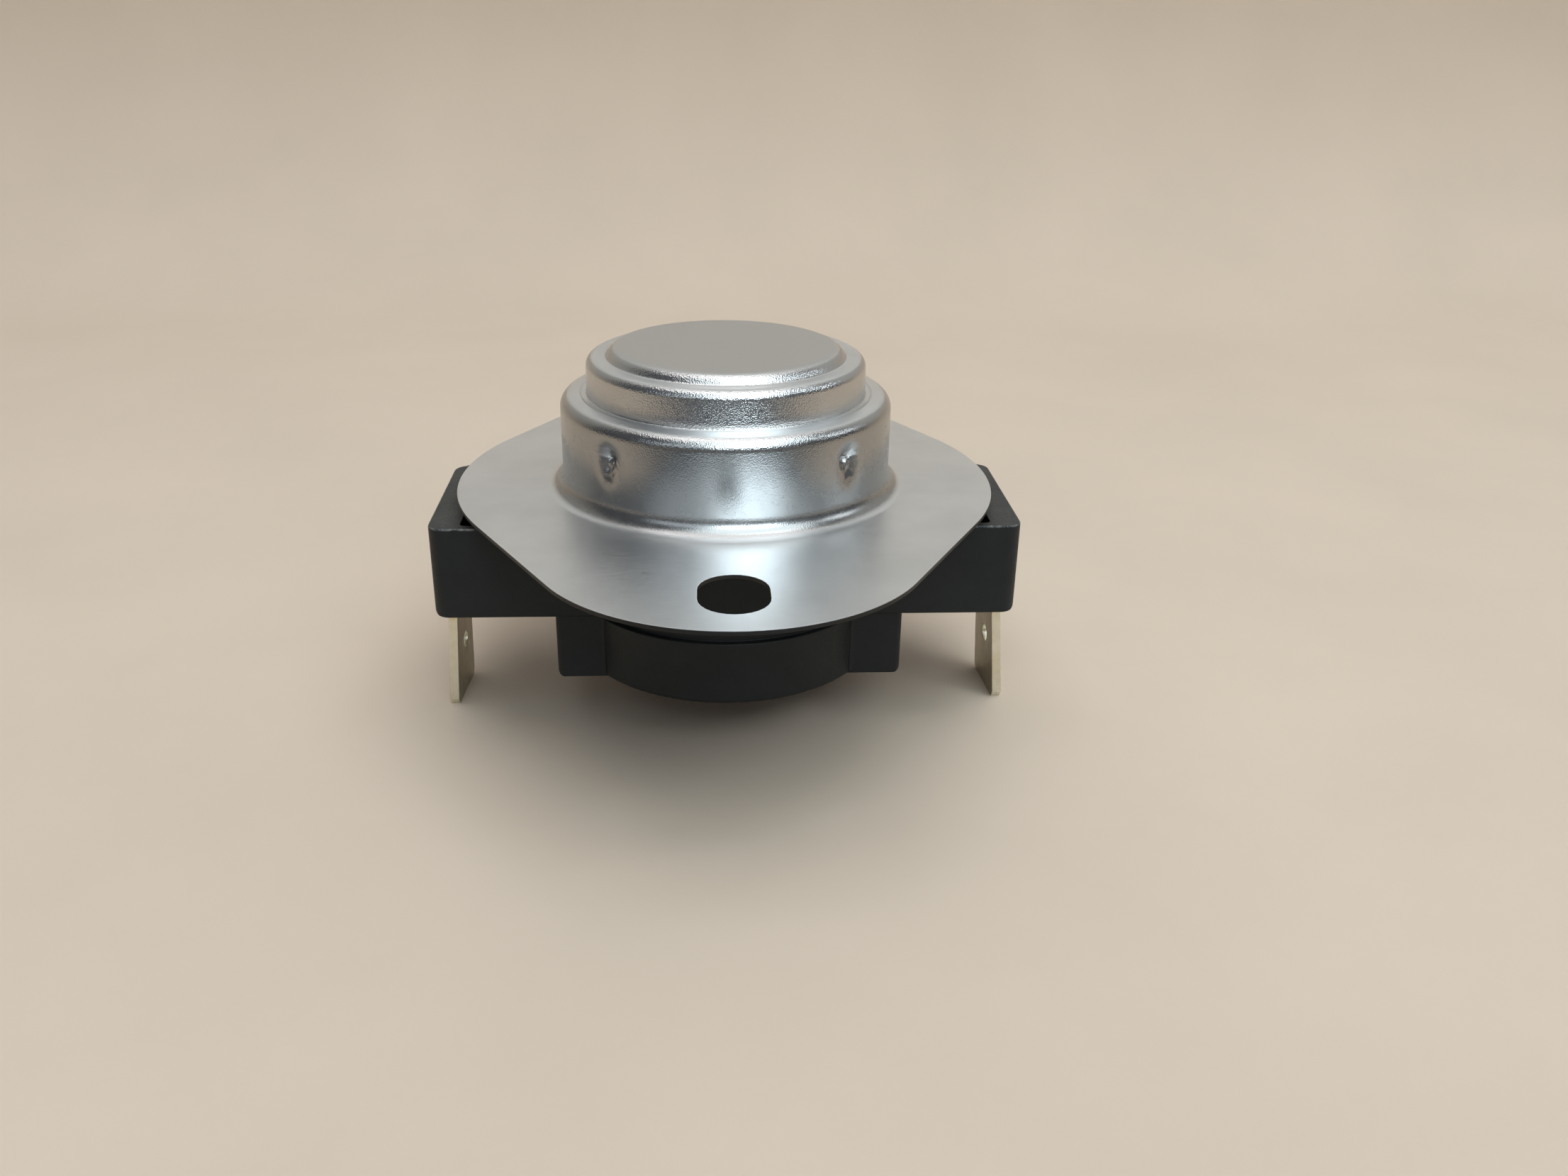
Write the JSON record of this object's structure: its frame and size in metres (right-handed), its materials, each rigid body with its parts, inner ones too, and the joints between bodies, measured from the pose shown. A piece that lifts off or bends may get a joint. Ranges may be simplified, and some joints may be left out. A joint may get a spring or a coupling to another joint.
{
  "type": "snap-disc temperature limit switch",
  "caption": "Snap-disc temperature limit switch: stepped aluminium sensing cup with a slotted oval flange, black moulded case with wings and blade terminals.",
  "frame": {"origin": "on the axis of the cup, in the plane that the terminal tips stand on", "axes": "+Z along the axis of the cup towards the sensing face, +X along the wings through the terminals, +Y along the long way of the mounting flange"},
  "size_m": [0.0492, 0.0618, 0.0322],
  "materials": {
    "cup_aluminium": "satin drawn sheet with fine brushed grain",
    "case_phenolic": "moulded black phenolic, matt with a faint sheen",
    "tinned_brass": "tin plated brass, bare brass at the sheared edges",
    "rivet_brass": "satin",
    "bracket_brass": "half-bright strip",
    "spring_copper": "rolled spring strip",
    "plated_steel": "zinc plated",
    "contact_silver": "matt silver",
    "pin_ceramic": "unglazed",
    "guide_phenolic": "moulded brown phenolic",
    "bimetal": "rolled bimetal sheet",
    "fibre": "vulcanised fibre"
  },
  "bodies": {
    "root": {"mounting_cup": "cup_aluminium", "switch_case": "case_phenolic", "left_terminal": "tinned_brass", "right_terminal": "tinned_brass", "terminal_rivets": "rivet_brass", "arm_bracket": "bracket_brass", "fixed_bracket": "bracket_brass", "arm_foot": "spring_copper", "arm_clamp_plate": "plated_steel", "arm_rivet": "rivet_brass", "fixed_contact": "contact_silver", "pin_guide": "guide_phenolic", "disc_seat": "plated_steel", "bimetal_disc": "bimetal", "stack_gasket": "fibre"},
    "pin": {"transfer_pin": "pin_ceramic"},
    "arm": {"contact_arm": "spring_copper", "moving_contact": "contact_silver"}
  },
  "joints": [
    {"name": "pin_slide", "type": "slide", "parent": "root", "child": "pin", "axis": [0, 0, -1], "range_m": [0, 0.00068], "stiffness_N_per_m": 1500, "deforming": ["bimetal_disc"]},
    {"name": "arm_swing", "type": "hinge", "parent": "root", "child": "arm", "pos_m": [-0.007, 0, 0.02], "axis": [0, 1, 0], "range_deg": [0, 5.6]}
  ],
  "couplings": [
    {"joint": "arm_swing", "follows": "pin_slide", "rad_per_m": 142.86}
  ]
}
